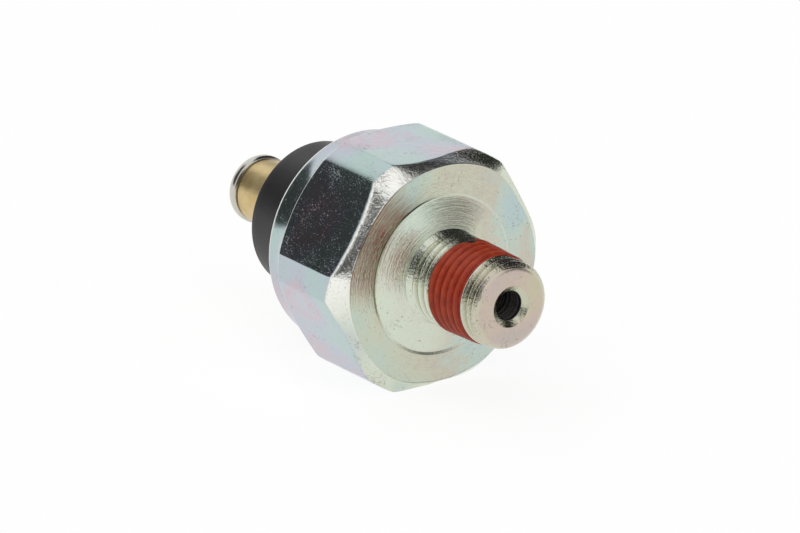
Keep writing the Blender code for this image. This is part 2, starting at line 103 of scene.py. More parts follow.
# The nipple
NOSE_X = 11.9
NOSE_ROUND = 1.1
NOSE_START_X = NOSE_X - NOSE_ROUND
PORT_R = 1.6
PORT_MOUTH_R = 2.2
PORT_MOUTH_X = 11.45
PITCH = 1.0
THREAD_MAJOR_R = 5.0
GAUGE_X = 2.6
TAPER = 1 / 32
THREAD_DEPTH = 0.60
THREAD_HEIGHT = 0.866
THREAD_PHASE = 0.88
THREAD_ROOT_ROUND = 0.25
THREAD_CREST_ROUND = 0.16
THREAD_END_X = 11.6
THREAD_FADE = 0.6
THREAD_ROWS = 212
NOSE_BLEND = 0.06
RELIEF_R = 4.5
RELIEF_END_X = 1.3
RUN_IN = 0.5
FOOT_R = 5.05

# The inside, from the cavity for the insulator to the pressure chamber
CAVITY_START_X = -13.8
CAVITY_R = 9.9
LEDGE_X = -5.2
SEAL_GROOVE_X = -3.45
SEAL_GROOVE_OUTER_R = 9.25
SEAL_GROOVE_INNER_R = 7.15
CHAMBER_R = 6.3
CHAMBER_END_X = -4.4


def linear(hex_colour):
    """Turns an sRGB hex colour into the linear colour that a shader takes."""
    parts = [int(hex_colour[place : place + 2], 16) / 255 for place in (1, 3, 5)]
    return tuple(p / 12.92 if p <= 0.04045 else ((p + 0.055) / 1.055) ** 2.4 for p in parts) + (1.0,)


def add(tree, kind, inputs=None, out=0, **settings):
    """Adds a node with its settings, links and hex colours, and gives back one of its outputs."""
    node = tree.nodes.new(kind)
    for name, value in settings.items():
        setattr(node, name, value)
    for name, value in (inputs or {}).items():
        if isinstance(value, bpy.types.NodeSocket):
            tree.links.new(value, node.inputs[name])
        else:
            node.inputs[name].default_value = linear(value) if isinstance(value, str) else value
    return node.outputs[out] if len(node.outputs) else node


def calc(tree, operation, *values, **settings):
    """One step of arithmetic on up to three values."""
    return add(tree, "ShaderNodeMath", dict(enumerate(values)), operation=operation, **settings)


def remap(tree, value, start, end, low=0.0, high=1.0, **settings):
    """Carries a value from the span start to end over to the span low to high, and holds it there outside."""
    spans = {"Value": value, "From Min": start, "From Max": end, "To Min": low, "To Max": high}
    return add(tree, "ShaderNodeMapRange", spans, **settings)


def noise(tree, place, scale, detail, roughness=0.5, distortion=0.0, **settings):
    """Noise whose widest clouds are about 1 / scale millimetres across."""
    inputs = {"Vector": place, "Scale": scale, "Detail": detail}
    inputs.update({"Roughness": roughness, "Distortion": distortion})
    return add(tree, "ShaderNodeTexNoise", inputs, **settings)


def tint(tree, value, stops):
    """Turns a value into a colour between stops, each a place and a hex colour."""
    colour = add(tree, "ShaderNodeValToRGB", {"Fac": value})
    ramp = colour.node.color_ramp
    while len(ramp.elements) < len(stops):
        ramp.elements.new(0.5)
    for element, (place, stop) in zip(ramp.elements, stops):
        element.position = place
        element.color = linear(stop)
    return colour


def mix(tree, share, first, second):
    """The first colour where the share is 0, and the second where it is 1."""
    return add(tree, "ShaderNodeMix", {"Factor": share, 6: first, 7: second}, out=2, data_type="RGBA")


def bump(tree, height, distance):
    """A normal that leans as on a surface of this height, where a height of 1 stands for the distance."""
    return add(tree, "ShaderNodeBump", {"Height": height, "Distance": distance})


def shade(tree, colour, rough, normal, others=None):
    """Ends a material with its one shader."""
    inputs = {"Base Color": colour, "Roughness": rough, "Normal": normal, **(others or {})}
    shader = add(tree, "ShaderNodeBsdfPrincipled", inputs)
    add(tree, "ShaderNodeOutputMaterial", {"Surface": shader})


def new_material(name):
    """An empty node material, with its tree and its place on the piece in millimetres."""
    made = bpy.data.materials.new(name)
    made.use_nodes = True
    tree = made.node_tree
    tree.nodes.clear()
    place = add(tree, "ShaderNodeTexCoord", out="Object")
    scaled = add(tree, "ShaderNodeMapping", {"Vector": place, "Scale": (1000.0, 1000.0, 1000.0)})
    return made, tree, scaled


def coordinates(tree, place):
    """The x, y and z of a place."""
    split = add(tree, "ShaderNodeSeparateXYZ", {0: place})
    return [split.node.outputs[k] for k in range(3)]


def off_axis(tree, y, z):
    """The distance of a place from the axis."""
    flat_place = add(tree, "ShaderNodeCombineXYZ", {"Y": y, "Z": z})
    return add(tree, "ShaderNodeVectorMath", {0: flat_place}, out="Value", operation="LENGTH")


def soft_min(a, b, softness):
    """The smaller of two values, with a rounded change-over as wide as the softness."""
    return (a + b - np.sqrt((a - b) ** 2 + softness**2)) / 2


def soft_max(a, b, softness):
    """The larger of two values, with a rounded change-over as wide as the softness."""
    return (a + b + np.sqrt((a - b) ** 2 + softness**2)) / 2


def section(corners, longest=1.0, arc_steps=6):
    """Points of a section in (x, radius): straight runs in equal steps no longer than `longest`, and each
    corner that names a rounding drawn as an arc. An arc point is the centre plus the radius times the
    blend, by sines, of the directions to its two ends."""
    corners = [tuple(corner) + (0.0,) * (3 - len(corner)) for corner in corners]
    pieces = []
    last = len(corners) - 1
    for index, (x, r, size) in enumerate(corners):
        here = np.array([x, r])
        if not size or index in (0, last):
            pieces.append(here[None])
            continue
        a = np.array(corners[index - 1][:2]) - here
        b = np.array(corners[index + 1][:2]) - here
        a, b = a / np.hypot(*a), b / np.hypot(*b)
        half = math.acos(np.clip(a @ b, -1, 1)) / 2
        centre = here + (a + b) / np.hypot(*(a + b)) * size / math.sin(half)
        start = (here + a * size / math.tan(half) - centre) / size
        end = (here + b * size / math.tan(half) - centre) / size
        sweep = math.pi - 2 * half
        share = np.linspace(0, 1, arc_steps + 1)[:, None]
        blend = (np.sin((1 - share) * sweep) * start + np.sin(share * sweep) * end) / math.sin(sweep)
        pieces.append(centre + size * blend)
    points = [pieces[0]]
    for piece in pieces[1:]:
        before, after = points[-1][-1], piece[0]
        count = max(1, math.ceil(np.hypot(*(after - before)) / longest))
        run = before + (after - before) * (np.arange(1, count)[:, None] / count)
        points += [run, piece]
    return np.concatenate([p for p in points if len(p)])


def round_the_axis(x, r, angles):
    """Places rows of (x, radius) round the axis: y = r cos(angle), z = r sin(angle)."""
    x, r, angles = np.broadcast_arrays(x, r, angles)
    return np.stack([x, r * np.cos(angles), r * np.sin(angles)], axis=-1)


def spun(points, angles):
    """A section of (x, radius) points spun round the axis, a row for each point."""
    return round_the_axis(points[:, :1], points[:, 1:], angles)


def neighbours(columns):
    """Each column of a ring, and the one after it."""
    column = np.arange(columns)
    return column, (column + 1) % columns


def grid_quads(rows, columns, first=0, loop=False):
    """Quads between neighbouring rows of a grid whose columns close on themselves. With loop, the last row
    joins the first one too."""
    row = np.arange(rows if loop else rows - 1)[:, None]
    here, below = row * columns, (row + 1) % rows * columns
    column, ahead = neighbours(columns)
    corners = [here + column, here + ahead, below + ahead, below + column]
    return np.stack(corners, axis=-1).reshape(-1, 4) + first


def make_piece(name, points, faces, finish, body, replaced, slot, sharp=35.0):
    """Makes a closed mesh of points in millimetres and of lists of quads or triangles, turns its faces
    outwards, and hands it to the frame."""
    triangles = [np.asarray(f)[:, [0, k, k + 1]] for f in faces for k in range(1, f.shape[1] - 1)]
    a, b, c = (points[np.concatenate(triangles)[:, k]] for k in range(3))
    inside_out = np.einsum("ij,ij->i", a, np.cross(b, c)).sum() < 0
    listed = [row[::-1].tolist() if inside_out else row.tolist() for f in faces for row in f]
    mesh = bpy.data.meshes.new(name)
    mesh.from_pydata((points * MM).tolist(), [], listed)
    mesh.validate()
    mesh.materials.append(finish)
    mesh.shade_smooth()
    mesh.set_sharp_from_angle(angle=math.radians(sharp))
    piece = bpy.data.objects.new(name, mesh)
    bpy.context.scene.collection.objects.link(piece)
    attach(piece, body)
    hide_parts(replaced)
    return piece


def body_angles():
    """Angles of the columns round the head, closer together where a flat meets a corner: half a flat is cut
    into three spans, each given by its ends in degrees and its number of columns."""
    spans = [(0.0, 18.0, 14), (18.0, 25.2, 20), (25.2, 30.0, 11)]
    half = np.concatenate([np.linspace(start, end, count, endpoint=False) for start, end, count in spans])
    sector = np.concatenate([[-30.0], -half[:0:-1], half])
    return np.radians((np.arange(6)[:, None] * 60.0 + 30.0 + sector).ravel())


def crest_radius(x):
    """Radius over the thread's crests: it grows by the taper times the length towards the hexagon."""
    return THREAD_MAJOR_R + (GAUGE_X - x) * TAPER


def thread_wave(x, angles):
    """0 at a crest and 1 at a root, straight between them, climbing one pitch in a turn to the right."""
    turn = x / PITCH - angles / (2 * np.pi) + THREAD_PHASE
    return 1 - np.abs(2 * (turn % 1.0) - 1)


def thread_radius(x, angles):
    """The thread's surface: crest radius less a V whose crest and root are rounded off, running out into
    the relief at the hexagon and into the nose, a quarter circle whose height over its centre is the root of
    its radius squared less the distance squared."""
    cut = THREAD_HEIGHT * thread_wave(x, angles) - (THREAD_HEIGHT - THREAD_DEPTH) / 2
    cut = soft_max(0.0, soft_min(cut, THREAD_DEPTH, THREAD_ROOT_ROUND), THREAD_CREST_ROUND)
    fade = np.clip((THREAD_END_X - x) / THREAD_FADE, 0, 1)
    r = crest_radius(x) - cut * fade * fade * (3 - 2 * fade)
    envelope = RELIEF_R + (crest_radius(x) - RELIEF_R) * np.clip((x - RELIEF_END_X) / RUN_IN, 0, 1)
    past = np.clip(x - NOSE_START_X, 0, NOSE_ROUND)
    nose = crest_radius(np.minimum(x, NOSE_START_X)) - NOSE_ROUND + np.sqrt(NOSE_ROUND**2 - past**2)
    return soft_min(soft_min(r, envelope, NOSE_BLEND), nose + NOSE_BLEND / 2, NOSE_BLEND)


def face_cone(r):
    """Where the face round the nipple lies: a shallow cone that rises from the recess towards the nipple."""
    return RECESS_X + (RECESS_R - r) * FACE_CONE


def nipple_rows(angles):
    """Rows from the port's mouth over the nose and along the thread to the foot of the nipple, a bevel that
    stands on the face's cone."""
    nose_r = crest_radius(NOSE_START_X) - NOSE_ROUND
    mouth = section([(PORT_MOUTH_X, PORT_R), (NOSE_X, PORT_MOUTH_R, 0.06), (NOSE_X, nose_r)], longest=0.45)
    turn = np.radians(np.arange(4.0, 46.0, 5.0))[:, None]
    arc_x, arc_r = NOSE_START_X + NOSE_ROUND * np.cos(turn), nose_r + NOSE_ROUND * np.sin(turn)
    thread_x = np.linspace(THREAD_END_X - 0.05, RELIEF_END_X, THREAD_ROWS)[:-1, None]
    foot_x = face_cone(FOOT_R)
    foot = section(
        [
            (RELIEF_END_X, RELIEF_R),
            (foot_x + FOOT_R - RELIEF_R, RELIEF_R, 0.12),
            (foot_x, FOOT_R, 0.12),
            (face_cone(CONE_FOOT_R), CONE_FOOT_R),
        ],
        longest=0.5,
        arc_steps=5,
    )
    return np.concatenate(
        [
            spun(mouth, angles),
            round_the_axis(arc_x, arc_r, angles),
            round_the_axis(thread_x, thread_radius(thread_x, angles), angles),
            spun(foot, angles),
        ]
    )


def round_table(angles, table, column):
    """A value that drifts round the axis: one column of the table, joined up and smoothed over 10 degrees."""
    places = [row[0] for row in table]
    joined = np.interp(np.arange(360), places, [row[column] for row in table], period=360)
    window = np.hanning(11) / np.hanning(11).sum()
    smooth = sum(weight * np.roll(joined, step - 5) for step, weight in enumerate(window))
    return np.interp(np.degrees(angles) % 360, np.arange(360), smooth, period=360)


def head_rows(angles):
    """Rows from the recess in the front face, over the edge, the flats and the shoulder, to the rolled lip.

    The side is the smaller of the turned blank and the flats, whose radius is the distance to the flat
    divided by the cosine of the angle from its middle. The front edge is a chamfer, straight in section, that
    rises from the face's border to the side over its run and meets the side in a rounded line."""
    off_middle = np.abs(angles % (np.pi / 3) - np.pi / 6)
    slant = 1 / np.cos(off_middle)
    side_r = soft_min(CORNER_R, FLAT_HALF * slant, EDGE_SOFTNESS)
    front_r = round_table(angles, FRONT_EDGE, 2)
    places = np.radians([row[0] for row in FRONT_EDGE])
    side_there = np.minimum(CORNER_R, FLAT_HALF / np.cos(places % (np.pi / 3) - np.pi / 6))
    slopes = [(row[0], (side - row[2]) / row[1]) for row, side in zip(FRONT_EDGE, side_there)]
    edge_slope = round_table(angles, slopes, 1)
    edge_run = (side_r - front_r) / edge_slope

    recess = section(
        [
            (face_cone(CONE_JOIN_R), CONE_JOIN_R),
            (RECESS_X, RECESS_R, 0.06),
            (0.0, RECESS_R + RECESS_WALL, 0.06),
            (0.0, FACE_MIDDLE_R),
        ],
        longest=0.8,
        arc_steps=3,
    )
    share = np.array([0.25, 0.5, 0.75, 0.9])[:, None]
    face = round_the_axis(0.0, FACE_MIDDLE_R + (front_r - FACE_MIDDLE_R) * share, angles)

    # A burr 0.03 mm high stands along the face's border
    burr_x = np.array([0.0, 0.012, 0.03, 0.03])[:, None]
    burr_in = np.array([0.20, 0.12, 0.07, 0.03])[:, None]
    burr = round_the_axis(burr_x, front_r - burr_in, angles)

    # The rounding shrinks where the chamfer is shallow
    edge_x = -np.linspace(0, 1, EDGE_ROWS)[:, None] * (edge_run + EDGE_PAST)
    edge_round = round_table(angles, EDGE_ROUND, 1) * np.minimum(1.0, edge_slope / EDGE_FULL_ROUND_SLOPE)
    edge = round_the_axis(edge_x, soft_min(side_r, front_r - edge_x * edge_slope, edge_round), angles)

    # Along the side the rows draw close together about the shoulder's line
    rear_x = HEAD_REAR_X + round_table(angles, REAR_SHIFT, 1)
    shoulder_x = rear_x - np.maximum(0.0, CORNER_R - FLAT_HALF * slant) / SHOULDER_SLOPE
    near = np.array([0.35, 0.2, 0.12, 0.06, 0.0, -0.06, -0.12, -0.2])[:, None]
    along = np.linspace(0, 1, 12)[1:-1, None]
    side_x = -edge_run - EDGE_PAST + (shoulder_x + near[0] + edge_run + EDGE_PAST) * along
    side_x = np.concatenate([side_x, shoulder_x + near])
    cone = CORNER_R + (side_x - rear_x) * SHOULDER_SLOPE
    side = round_the_axis(side_x, soft_min(side_r, cone, EDGE_SOFTNESS), angles)

    start_x = shoulder_x + near[-1]
    end_x = rear_x - (CORNER_R - BAND_R) / SHOULDER_SLOPE - 0.12
    cone_x = start_x + (end_x - start_x) * np.linspace(0, 1, 7)[1:, None]
    cone = CORNER_R + (cone_x - rear_x) * SHOULDER_SLOPE
    shoulder = round_the_axis(cone_x, soft_max(cone, BAND_R, EDGE_SOFTNESS) - EDGE_SOFTNESS / 4, angles)

    lip = section(
        [
            (LIP_START_X, BAND_R),
            (BAND_REAR_X, BAND_R, LIP_ROUND),
            (BAND_REAR_X, LIP_R, 0.3),
            (BAND_REAR_X + LIP_THICKNESS, LIP_R),
            (BAND_REAR_X + LIP_THICKNESS, LIP_R + 0.4),
        ],
        longest=0.6,
        arc_steps=8,
    )
    return np.concatenate([spun(recess, angles), face, burr, edge, side, shoulder, spun(lip, angles)])


def inside_rows(angles):
    """Rows from the lip forward through the cavity, the seal groove and the chamber to the port's mouth."""
    inside = section(
        [
            (CAVITY_START_X, 9.2),
            (CAVITY_START_X, CAVITY_R),
            (LEDGE_X, CAVITY_R),
            (LEDGE_X, SEAL_GROOVE_OUTER_R),
            (SEAL_GROOVE_X, SEAL_GROOVE_OUTER_R),
            (SEAL_GROOVE_X, SEAL_GROOVE_INNER_R),
            (LEDGE_X, SEAL_GROOVE_INNER_R),
            (LEDGE_X, CHAMBER_R),
            (CHAMBER_END_X, CHAMBER_R),
            (CHAMBER_END_X, PORT_R, 0.2),
            (PORT_MOUTH_X - 0.1, PORT_R),
        ],
        longest=3.0,
        arc_steps=3,
    )
    return spun(inside, angles)


def three_to_one(fine, coarse, fine_first, coarse_first):
    """Triangles that join a ring of columns to a ring with a third as many."""
    column, ahead = neighbours(coarse)
    f = [fine_first + (3 * column + step) % fine for step in range(4)]
    a, b = coarse_first + column, coarse_first + ahead
    triangles = [a, f[0], f[1]], [a, f[1], b], [b, f[1], f[2]], [b, f[2], f[3]]
    return np.concatenate([np.stack(corners, -1) for corners in triangles])


def tool_rings(tree, y, z, radius):
    """Rings that a turning tool leaves: fine noise that changes with the radius only, 0.05 to 0.3 mm wide."""
    around = calc(tree, "MULTIPLY", calc(tree, "ARCTAN2", z, y), 0.35)
    ring_place = add(tree, "ShaderNodeCombineXYZ", {"X": radius, "Y": around})
    return noise(tree, ring_place, 6.0, 5.0, 0.7, noise_dimensions="2D")


def wear_marks(tree, place, radius, patches, chamfer):
    """Fine specks of 0.1 mm, more of them in some patches, at the corners and on the chamfers, where the bar
    that the noise has to pass is lower. Then four sets of thin scratches 1 to 3 mm long, each from noise
    drawn out along a line of its own."""
    bar = remap(tree, patches, 0.35, 0.65, 0.70, 0.61)
    bar = calc(tree, "SUBTRACT", bar, remap(tree, radius, 12.3, 12.9, high=0.05))
    bar = calc(tree, "MULTIPLY_ADD", chamfer, -0.06, bar)
    specks = noise(tree, place, 7.0, 4.0, 0.8)
    marks = calc(tree, "SUBTRACT", specks, bar, use_clamp=True)
    scratch_sets = [((0.3, 1.2, 0.5), 3), ((1.4, 0.2, 1.1), 8), ((0.9, 2.2, 0.1), 14), ((2.6, 0.7, 1.9), 21)]
    for turned, seed in scratch_sets:
        drawn_out = add(
            tree,
            "ShaderNodeMapping",
            {"Vector": place, "Location": (seed, seed, seed), "Rotation": turned, "Scale": (1.2, 0.12, 0.12)},
            vector_type="TEXTURE",
        )
        scratch = remap(tree, noise(tree, drawn_out, 1.0, 1.0), 0.755, 0.82, high=0.2)
        marks = calc(tree, "ADD", marks, scratch)
    return marks


def plated_steel(name, film, roughness, nick_depth):
    """Bright zinc plate under a clear passivate film. The film's colours drift over a few millimetres, turned
    faces keep the tool's rings, and nicks and hair scratches catch the light. Painted highlights pale the
    left of the face's cone and the top and left of the chamfers, and painted shade darkens the thread's
    roots."""
    made, tree, place = new_material(name)
    x, y, z = coordinates(tree, place)
    radius = off_axis(tree, y, z)

    # How far the surface leans tells sides, chamfers and end faces apart
    facing = add(tree, "ShaderNodeTexCoord", out="Normal")
    lean = calc(tree, "ABSOLUTE", coordinates(tree, facing)[0])
    turned_edge = remap(tree, lean, 0.12, 0.40)
    chamfer = calc(tree, "COMPARE", lean, 0.5, 0.35)
    end_face = remap(tree, lean, 0.86, 0.98)

    # The film: slow drifts of colour about 10 mm wide, with faint clouds of under 1 mm
    drift = noise(tree, place, 0.09, 2.0, distortion=0.3)
    cloud = noise(tree, place, 1.3, 4.0)
    tone = calc(tree, "MULTIPLY_ADD", cloud, 0.18, drift)
    tone = calc(tree, "ADD", tone, -0.09)
    side_colour = tint(tree, tone, film["side"])
    tone = calc(tree, "MULTIPLY_ADD", y, film["drift_along_y"], tone)

    # The tool's rings are deeper on the rim of the face than on the cone round the nipple
    rings = calc(tree, "MULTIPLY", tool_rings(tree, y, z, radius), end_face)
    deepest = film["ring_depth"]
    ring_depth = remap(tree, radius, RECESS_R - 0.1, RECESS_R + 0.1, deepest * 0.6, deepest)
    ring_height = calc(tree, "MULTIPLY", rings, ring_depth)

    # The film is thickest on the faces, where it follows the tool's rings, and pink on the nose. A painted
    # highlight makes the left of the cone round the nipple pale. The film is thin on the chamfers, and a
    # painted highlight whitens them towards the top and left.
    tone = calc(tree, "MULTIPLY_ADD", rings, 0.16, tone)
    tone = calc(tree, "ADD", tone, -0.08)
    # Painted highlight: the left of the cone round the nipple is mixed towards pale green-white
    cone = remap(tree, radius, 8.5, 8.2, high=film["cone"])
    left = remap(tree, y, 2.5, -1.5)
    cone = calc(tree, "MULTIPLY", cone, left)
    face_colour_and_highlight = mix(tree, cone, tint(tree, tone, film["face"]), "#e8f6e6")
    on_nose = remap(tree, x, 9.4, 9.8)
    nose_colour = tint(tree, tone, film["nose"])
    face_colour_and_highlight = mix(tree, on_nose, face_colour_and_highlight, nose_colour)
    # Painted highlight: the chamfers turn near white towards the top and left, where the light falls on them
    top_left_painted_highlight = remap(tree, calc(tree, "SUBTRACT", z, y), 6.0, 14.0)
    edge_colour_and_highlight = mix(tree, top_left_painted_highlight, *film["edge"])
    edge_colour_and_highlight = mix(tree, calc(tree, "MULTIPLY", on_nose, 0.7), edge_colour_and_highlight, nose_colour)
    turned_colour = mix(tree, end_face, edge_colour_and_highlight, face_colour_and_highlight)
    colour = mix(tree, turned_edge, side_colour, turned_colour)

    # The surface's height: marks are cut into it, and the plate itself is a little uneven, a hundredth of a
    # millimetre over 1 mm, and dented on the chamfers
    patches = noise(tree, place, 0.35, 1.0)
    marks = wear_marks(tree, place, radius, patches, chamfer)
    depth = calc(tree, "MULTIPLY", marks, -nick_depth)
    swell = noise(tree, place, 0.9, 2.0)
    height = calc(tree, "MULTIPLY_ADD", swell, 0.010, depth)
    height = calc(tree, "ADD", height, ring_height)
    dents = calc(tree, "MULTIPLY", noise(tree, place, 2.6, 4.0, 0.65), film["dents"])
    height = calc(tree, "MULTIPLY_ADD", dents, chamfer, height)

    # Painted shade: the thread's roots are darkened to olive, where shade falls between the turns
    crest = calc(tree, "MULTIPLY_ADD", x, -TAPER, crest_radius(0.0))
    below = calc(tree, "SUBTRACT", crest, radius)
    root = remap(tree, below, 0.15, 0.5, high=film["root"])
    threaded = calc(tree, "COMPARE", x, (RELIEF_END_X + NOSE_START_X) / 2, 4.9)
    colour = mix(tree, calc(tree, "MULTIPLY", root, threaded), colour, "#9a9868")

    # Dark pits of 0.1 to 0.3 mm in the film, which gather in patches
    pits = calc(tree, "MULTIPLY_ADD", patches, 0.25, noise(tree, place, 3.2, 6.0, 0.75))
    pits = remap(tree, pits, 0.735, 0.79, high=0.6)
    colour = mix(tree, pits, colour, "#66645c")

    # Marks go through the film to grey steel
    bared = calc(tree, "MULTIPLY", marks, 7.0, use_clamp=True)
    colour = mix(tree, bared, colour, "#a3a19a")

    # The bore is left unplated and dark with oil
    plate = remap(tree, radius, PORT_R + 0.01, PORT_R + 0.03)
    drilled = add(tree, "ShaderNodeTexNoise", {"W": x, "Scale": 3.0, "Detail": 3.0}, noise_dimensions="1D")
    colour = mix(tree, plate, tint(tree, drilled, [(0.35, "#3a3a3e"), (0.65, "#a09e9a")]), colour)
    metallic = remap(tree, plate, 0.0, 1.0, low=0.3)

    rough = remap(tree, cloud, 0.0, 1.0, roughness * 0.8, roughness * 1.25)
    rough = add(tree, "ShaderNodeMix", {"Factor": bared, 2: rough, 3: 0.55})
    shade(tree, colour, rough, bump(tree, height, MM), {"Metallic": metallic})
    return made


# Colours of the film on sides, faces, nose and chamfers, where the chamfers' second colour is a painted
# highlight for their top and left, how pale the painted highlight on the left of the cone is, how high the
# dents on the chamfers and the tool's rings are in millimetres, how the tone drifts along Y, and how much
# painted olive shade darkens the thread's roots
body_film = {
    "side": [
        (0.32, "#b2c8c2"),
        (0.42, "#b6c6c8"),
        (0.50, "#bbc0cb"),
        (0.555, "#c8bac2"),
        (0.61, "#bfc0cb"),
        (0.70, "#b4c9c3"),
    ],
    "face": [
        (0.30, "#bccdc4"),
        (0.42, "#c4ccba"),
        (0.50, "#c8c8b4"),
        (0.56, "#c6c0b2"),
        (0.62, "#c0ccc0"),
        (0.72, "#b7c9c8"),
    ],
    "nose": [(0.34, "#bdbda4"), (0.44, "#c6bda6"), (0.52, "#c6b6aa"), (0.60, "#beb3ac"), (0.68, "#c0b9a6")],
    "edge": ["#d3d9c8", "#f8f8f2"],
    "cone": 0.35,
    "dents": 0.05,
    "ring_depth": 0.034,
    "drift_along_y": 0.008,
    "root": 0.8,
}
zinc_plate = plated_steel("zinc_plate_clear_passivate", body_film, 0.15, 0.07)

# The nipple and the inside have a third of the head's columns, and triangles join them to it
fine_angles = body_angles()
coarse_angles = fine_angles[::3]
fine_count, coarse_count = len(fine_angles), len(coarse_angles)
nipple = nipple_rows(coarse_angles)
head = head_rows(fine_angles)
inside = inside_rows(coarse_angles)
body_points = np.concatenate([grid.reshape(-1, 3) for grid in (nipple, head, inside)])
head_first = nipple.shape[0] * coarse_count
inside_first = head_first + head.shape[0] * fine_count
last_of_nipple = head_first - coarse_count
last_of_head = inside_first - fine_count
last_of_inside = len(body_points) - coarse_count
column, ahead = neighbours(coarse_count)
body_quads = np.concatenate(
    [
        grid_quads(nipple.shape[0], coarse_count),
        grid_quads(head.shape[0], fine_count, head_first),
        grid_quads(inside.shape[0], coarse_count, inside_first),
        np.stack([last_of_inside + column, last_of_inside + ahead, ahead, column], -1),
    ]
)
front_join = three_to_one(fine_count, coarse_count, head_first, last_of_nipple)
rear_join = three_to_one(fine_count, coarse_count, last_of_head, inside_first)
make_piece(
    "hex_body_finish",
    body_points,
    [body_quads, front_join, rear_join[:, ::-1]],
    zinc_plate,
    "housing",
    "hex_body",
    "zinc_steel",
)

# The thread's sealant
# A red compound brushed on the turns and dried. It rounds the crests, pools in the roots, stops in uneven
# edges, and has flaked off a few crests.

SEALANT_START_X = 4.12
SEALANT_END_X = 9.45
SEALANT_PAST = 0.35
SEALANT_ON_CREST = 0.06
SEALANT_GROOVE = 0.44
SEALANT_EDGE = 0.12
SEALANT_SUNK = 0.05
SEALANT_INNER_DEPTH = 0.8

# The worn spot: where its middle lies, and how far it spreads along X and in radians
WORN_X = 4.35
WORN_LENGTH = 0.75
WORN_ANGLE = 1.6
WORN_SPREAD = 0.42


def waver(x, angles, seed, spread=1.0):
    """A smooth random surface, mostly within -1 to 1: a quarter of the sum of eight sines along x and round
    the axis."""
    random = np.random.default_rng(seed)
    total = 0.0
    for _ in range(8):
        along, around = random.uniform(0.8, 3.5) * spread, random.integers(1, 9)
        total = total + np.sin(along * x + around * angles + random.uniform(0, 6.28))
    return total / 4


def sealant_surface(x, angles):
    """Thread radius plus the coat: a broad crest, a filled root, and a coat that thins out at its edges and
    in the worn spot until it lies sunk in the steel, so that the steel shows there. The worn spot is a bell
    curve along X and round the axis."""
    cut = SEALANT_GROOVE * thread_wave(x, angles) ** 2.4
    coat = crest_radius(x) + SEALANT_ON_CREST - cut
    coat = coat + 0.012 * waver(x, angles, 3, 2.0)
    start = SEALANT_START_X + 0.10 * waver(0 * x, angles, 5) - 0.22 * np.clip(np.sin(angles), 0, 1) ** 2
    end = SEALANT_END_X + 0.06 * waver(0 * x, angles, 8)
    covered = np.minimum(x - start, end - x) / SEALANT_EDGE
    worn = np.exp(-(((x - WORN_X) / WORN_LENGTH) ** 2) - ((angles - WORN_ANGLE) / WORN_SPREAD) ** 2)
    worn = worn * (0.65 + 0.6 * waver(x, angles, 11, 2.5))
    kept = np.clip(covered, 0, 1) - np.clip(worn, 0, 1.2)
    steel = thread_radius(x, angles)
    return steel - SEALANT_SUNK + (coat - steel + SEALANT_SUNK) * np.clip(kept, 0, 1)


def dried_sealant():
    """Anaerobic thread sealant, brushed and dried: brick red, waxy, lighter where it is rubbed thin."""
    made, tree, place = new_material("dried_red_thread_sealant")
    cloud = noise(tree, place, 1.1, 4.0)
    grain = noise(tree, place, 9.0, 3.0)
    colour = tint(tree, cloud, [(0.30, "#ae3318"), (0.50, "#be3f1d"), (0.68, "#c94d28")])
    rubbed = remap(tree, grain, 0.62, 0.8, high=0.5)
    colour = mix(tree, rubbed, colour, "#cf6e4c")
    rough = remap(tree, cloud, 0.0, 1.0, 0.38, 0.55)
    shade(tree, colour, rough, bump(tree, grain, 0.012 * MM), {"IOR": 1.48})
    return made


sealant_angles = np.radians(np.arange(240) * 1.5)
front_x, rear_x = SEALANT_END_X + SEALANT_PAST, SEALANT_START_X - SEALANT_PAST
outer_x = np.linspace(rear_x, front_x, 200)[:, None]
inner_x = np.linspace(front_x, rear_x, 4)[:, None]
sealant_grid = np.concatenate(
    [
        round_the_axis(outer_x, sealant_surface(outer_x, sealant_angles), sealant_angles),
        round_the_axis(inner_x, crest_radius(inner_x) - SEALANT_INNER_DEPTH, sealant_angles),
    ]
)
make_piece(
    "sealant_coat",
    sealant_grid.reshape(-1, 3),
    [grid_quads(*sealant_grid.shape[:2], loop=True)],
    dried_sealant(),
    "housing",
    "thread_sealant",
    "thread_sealant",
)

# The insulator
# A glass-filled black thermoset moulding, held in the body by the rolled lip. Its skin is matt, and the
# mould's parting leaves a short pale line.

BOSS_R = 7.85
BOSS_END_X = -22.7
FLANGE_R = 9.6
FLANGE_FRONT_X = -7.15
FLANGE_REAR_X = -12.2
SKIRT_INNER_R = 6.7
CUP_START_X = -12.55
CUP_END_X = -18.55
CUP_R = 4.9
POST_R = 3.4
POST_PLAY = 0.3
COLLAR_FRONT_X = -19.9
COLLAR_REAR_X = -21.1
PARTING_ANGLE = -2.78


def turned_piece(name, corners, columns, finish, body, replaced, slot):
    """A section spun round the axis, which closes from its last point to its first."""
    grid = spun(section(corners, longest=0.8), np.arange(columns) * 2 * np.pi / columns)
    faces = [grid_quads(len(grid), columns, loop=True)]
    return make_piece(name, grid.reshape(-1, 3), faces, finish, body, replaced, slot)


def black_thermoset():
    """Phenolic moulding: near black, matt, with a fine grain from the filler and a line 3 mm long where the
    mould parted."""
    made, tree, place = new_material("black_phenolic_moulding")
    grain = noise(tree, place, 6.0, 5.0, 0.65)
    cloud = noise(tree, place, 0.5, 2.0)
    colour = tint(tree, grain, [(0.3, "#0a0a0b"), (0.7, "#141415")])
    x, y, z = coordinates(tree, place)
    line = calc(tree, "COMPARE", calc(tree, "ARCTAN2", z, y), PARTING_ANGLE, 0.006)
    near_lip = calc(tree, "COMPARE", x, -18.6, 1.5)
    line = calc(tree, "MULTIPLY", line, near_lip)
    line = calc(tree, "MULTIPLY", line, 0.25)
    colour = mix(tree, line, colour, "#8a8a8a")
    rough = remap(tree, cloud, 0.0, 1.0, 0.34, 0.46)
    shade(tree, colour, rough, bump(tree, grain, 0.02 * MM), {"IOR": 1.55})
    return made


